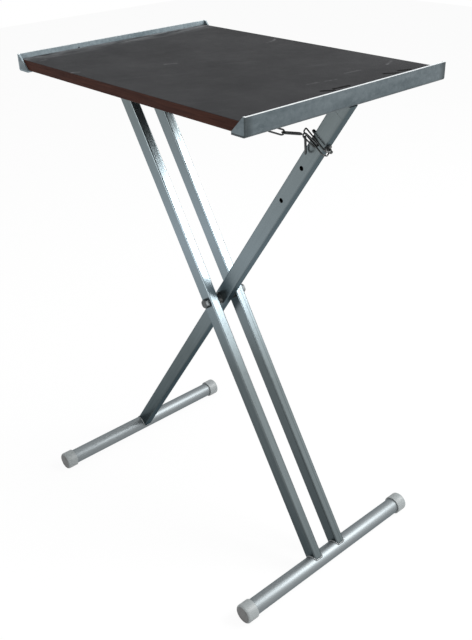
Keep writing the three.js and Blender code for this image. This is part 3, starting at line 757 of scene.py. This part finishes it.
def tail_link():
    """The last link hangs straight down from its upper end, with its flat side turned away."""
    centre, axes, reach = link_frame("chain_link_6")
    top = centre + axes[0] * reach[0] * np.sign(axes[0][2])
    down = np.array([TAIL_LEAN, 0.0, -1.0]) / np.hypot(TAIL_LEAN, 1.0)
    wide = np.array([TAIL_FACING[0], TAIL_FACING[1], TAIL_LEAN * TAIL_FACING[0]])
    return link_points(top + down * reach[0], np.array([down, wide, np.cross(down, wide)]), reach)


def bail_points(wire):
    """A sprung wire loop: from the pin's hole round the leg's edge, along its front and back again.

    The corners lie across, behind and along the leg, measured from the pin. The closed line through
    them is divided evenly and each point is then averaged with its neighbours to round the corners.
    """
    pin = np.array(JOINTS["pin_slide"]["pos_m"])
    across = np.cross(BACK, LEG_UP)
    hole = (np.array(JOINTS["bail_swing"]["pos_m"]) - pin) @ across
    half = np.array([
        [hole, 0.0, BAIL_HALF_GAP],
        [hole + BAIL_BULGE, -0.008, BAIL_HALF_GAP],
        [hole, BAIL_FRONT, BAIL_HALF_GAP],
        [BAIL_FAR_END, BAIL_FRONT, BAIL_HALF_GAP],
    ])
    corners = np.vstack([half, half[::-1] * [1.0, 1.0, -1.0], half[:1]])
    length = np.concatenate([[0.0], np.cumsum(np.linalg.norm(np.diff(corners, axis=0), axis=1))])
    even = np.linspace(0.0, length[-1], 360, endpoint=False)
    line = np.stack([np.interp(even, length, corners[:, axis]) for axis in range(3)], axis=-1)
    shifts = range(-BAIL_ROUNDING, BAIL_ROUNDING + 1)
    line = np.mean([np.roll(line, shift, axis=0) for shift in shifts], axis=0)
    path = pin + line @ np.array([across, BACK, LEG_UP])
    oblique = 0.3 * across + 0.5 * BACK + 0.8 * LEG_UP
    return sweep(path, wire, WIRE_SIDES, oblique)


class TABLE_OT_lock(bpy.types.Operator):
    """Chain links, lock pin, bail and screw eye"""

    bl_idname = "table.lock"
    bl_label = "Make Lock and Chain"

    def execute(self, context):
        finishes = settings(context).finishes
        sizes = settings(context).sizes
        wire = steel_finish("chain_wire", finishes.steel, 0.22)
        for node, body in LINK_BODIES.items():
            if node == "chain_link_4":
                points = last_link(sizes.last_link_extra)
            elif node == "chain_link_6":
                points = tail_link()
            elif node == "lock_bail":
                points = bail_points(sizes.bail_wire)
            else:
                points = link_points(*link_frame(node))
            piece = grid_piece(f"{node}_round", points, True, True, wire)
            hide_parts(node)
            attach(piece, body)
        for node in ("lock_pin", "chain_eye"):
            dress(node, wire)
        return {"FINISHED"}


def cope_path(node, foot, up, width):
    """Closed line where a leg's outside meets its foot, divided evenly.

    The line is a squared-off ellipse across the leg, each half axis times a small power of the cosine
    or sine, and it rises along the leg to the surface of the foot's tube.
    """
    low, high = node_box(node)
    foot_low, foot_high = node_box(foot)
    centre = (foot_low + foot_high) / 2
    radius = (foot_high[2] - foot_low[2]) / 2
    across = np.cross(BACK, up)
    least_rise = 0.003
    squareness = 2.0 / 9.0
    half_width, half_depth = width / 2, (high[1] - low[1]) / 2
    angle = np.linspace(0.0, 2 * np.pi, 240, endpoint=False)
    n = half_width * np.sign(np.cos(angle)) * np.abs(np.cos(angle)) ** squareness
    d = half_depth * np.sign(np.sin(angle)) * np.abs(np.sin(angle)) ** squareness
    rise = np.sqrt(np.maximum(radius ** 2 - n ** 2, least_rise ** 2))
    middle = np.array([centre[0], (low[1] + high[1]) / 2, centre[2]])
    path = middle + n[:, None] * across + d[:, None] * BACK + rise[:, None] * up
    step = np.linalg.norm(np.roll(path, -1, axis=0) - path, axis=1)
    length = np.concatenate([[0.0], np.cumsum(step)])
    even = np.linspace(0.0, length[-1], 320, endpoint=False)
    closed = np.vstack([path, path[:1]])
    return np.stack([np.interp(even, length, closed[:, axis]) for axis in range(3)], axis=-1)


BEAD_SIDES = 12
WELDED_LEGS = (
    ("outer_leg_front", "right_foot_tube", OUTER_UP, "outer_frame"),
    ("outer_leg_back", "right_foot_tube", OUTER_UP, "outer_frame"),
    ("centre_leg", "left_foot_tube", LEG_UP, "centre_frame"),
)


class TABLE_OT_welds(bpy.types.Operator):
    """Rippled weld beads where the legs meet their feet"""

    bl_idname = "table.welds"
    bl_label = "Make Welds"

    def execute(self, context):
        sizes = settings(context).sizes
        finishes = settings(context).finishes
        material = steel_finish("weld_bead", finishes.weld, 0.25)
        for node, foot, up, body in WELDED_LEGS:
            path = cope_path(node, foot, up, LEG_WIDTH)
            length = np.linalg.norm(np.roll(path, -1, axis=0) - path, axis=1).sum()
            ripples = round(length / sizes.ripple)
            phase = np.linspace(0.0, 2 * np.pi * ripples, len(path), endpoint=False)
            # The radius ripples once each ripple length, and more slowly by a little
            radius = sizes.bead * (1.0 + 0.12 * np.sin(phase) + 0.08 * np.sin(phase * 0.37))
            points = sweep(path, radius, BEAD_SIDES, up)
            piece = grid_piece(f"{node}_weld", points, True, True, material, math.pi)
            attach(piece, body)
        return {"FINISHED"}


def lamp(name, place, target, size, power):
    """An area lamp that faces a target."""
    data = bpy.data.lights.new(name, "AREA")
    data.shape = "RECTANGLE"
    data.size, data.size_y = size
    data.energy = power
    item = bpy.data.objects.new(name, data)
    item.location = place
    item.rotation_euler = (Vector(target) - Vector(place)).to_track_quat("-Z", "Y").to_euler()
    bpy.context.scene.collection.objects.link(item)


def seen_directly(finish):
    """1 for rays from the camera, in mirrors and through glass, 0 for light that falls on things."""
    rays = ("Is Camera Ray", "Is Glossy Ray", "Is Transmission Ray")
    camera, glossy, through = finish.make("ShaderNodeLightPath", output=rays)
    return (camera + glossy + through).clamp()


# Name, place, what it faces, width and length, and watts of each lamp
TABLE_MIDDLE = (0.0, 0.0, 0.55)
LAMPS = (
    ("side_lamp", (1.95, 1.9, 2.65), TABLE_MIDDLE, (1.9, 1.4), 140.0),
    ("top_lamp", (0.6, 0.2, 3.2), TABLE_MIDDLE, (1.6, 1.6), 30.0),
    ("low_lamp", (2.9, 1.8, 0.6), (0.2, 0.0, 0.2), (1.2, 1.0), 4.0),
    ("front_lamp", (0.8, -2.8, 1.5), TABLE_MIDDLE, (1.4, 1.4), 22.0),
)
FLOOR_REACH = 6.0
FLOOR_DROP = 0.0005
FLOOR_GLOW = 0.93
DIM_LEVEL = 0.55


class TABLE_OT_stage(bpy.types.Operator):
    """Camera at the photograph's place, pale floor, white surroundings and soft lamps"""

    bl_idname = "table.stage"
    bl_label = "Make Stage"

    def execute(self, context):
        scene = context.scene
        scene.view_settings.view_transform = "Standard"
        self.camera(context, settings(context).camera)
        self.floor()
        self.world(scene)
        for values in LAMPS:
            lamp(*values)
        return {"FINISHED"}

    def camera(self, context, view):
        """A camera turned by yaw, pitch and roll from the view along +Y."""
        data = bpy.data.cameras.new("photo_camera")
        data.sensor_width = 36.0
        data.lens = view.focal_pixels / view.frame_height * data.sensor_width
        data.clip_start, data.clip_end = 0.05, 50.0
        ahead = Vector((
            math.sin(view.yaw) * math.cos(view.pitch),
            math.cos(view.yaw) * math.cos(view.pitch),
            math.sin(view.pitch),
        ))
        right = Vector((math.cos(view.yaw), -math.sin(view.yaw), 0.0))
        up = right.cross(ahead)
        turned_right = math.cos(view.roll) * right + math.sin(view.roll) * up
        turned_up = math.cos(view.roll) * up - math.sin(view.roll) * right
        turn = Matrix((turned_right, turned_up, -ahead)).transposed().to_4x4()
        item = bpy.data.objects.new("photo_camera", data)
        item.matrix_world = Matrix.Translation(Vector(view.place)) @ turn
        context.scene.collection.objects.link(item)
        context.scene.camera = item

    def floor(self):
        """A flat square that glows white where it is seen and keeps the shadow."""
        finish = Finish.material("pale_floor")
        diffuse = finish.make("ShaderNodeBsdfDiffuse", None, {"Color": (0.8, 0.8, 0.8, 1.0)})
        glow = finish.make("ShaderNodeEmission", None, {"Color": (1.0, 1.0, 1.0, 1.0), "Strength": 1.0})
        share = seen_directly(finish) * FLOOR_GLOW
        mixed = finish.make("ShaderNodeMixShader", None, {0: share, 1: diffuse, 2: glow})
        ends = np.array([-FLOOR_REACH, FLOOR_REACH])
        x, y = np.meshgrid(ends, ends, indexing="ij")
        points = np.stack([x, y, np.full_like(x, -FLOOR_DROP)], axis=-1)
        item = grid_piece("floor", points, False, False, finish.close(mixed))
        if item.data.polygons[0].normal.z < 0:
            item.data.flip_normals()

    def world(self, scene):
        """White where it is seen, dimmer as a light."""
        finish = Finish(bpy.data.worlds.new("white_surroundings"), "ShaderNodeOutputWorld")
        level = seen_directly(finish) * (1.0 - DIM_LEVEL) + DIM_LEVEL
        back = {"Color": (1.0, 1.0, 1.0, 1.0), "Strength": level}
        scene.world = finish.close(finish.make("ShaderNodeBackground", None, back))


OPERATORS = (
    TABLE_OT_stage,
    TABLE_OT_board,
    TABLE_OT_rails,
    TABLE_OT_legs,
    TABLE_OT_feet,
    TABLE_OT_fasteners,
    TABLE_OT_lock,
    TABLE_OT_welds,
)


class TABLE_PT_pieces(bpy.types.Panel):
    """Lists the steps that dress the table"""

    bl_idname = "TABLE_PT_pieces"
    bl_label = "Typewriter Table"
    bl_space_type = "VIEW_3D"
    bl_region_type = "UI"
    bl_category = "Table"

    def draw(self, context):
        for operator in OPERATORS:
            self.layout.operator(operator.bl_idname)


CLASSES = (TableFinishes, TableSizes, TableCamera, TableSettings, *OPERATORS, TABLE_PT_pieces)


def register():
    for item in CLASSES:
        bpy.utils.register_class(item)
    bpy.types.Scene.typewriter_table = PointerProperty(type=TableSettings)


def unregister():
    del bpy.types.Scene.typewriter_table
    for item in reversed(CLASSES):
        bpy.utils.unregister_class(item)


def main():
    register()
    for operator in OPERATORS:
        group, name = operator.bl_idname.split(".")
        getattr(getattr(bpy.ops, group), name)()


if __name__ == "__main__":
    main()
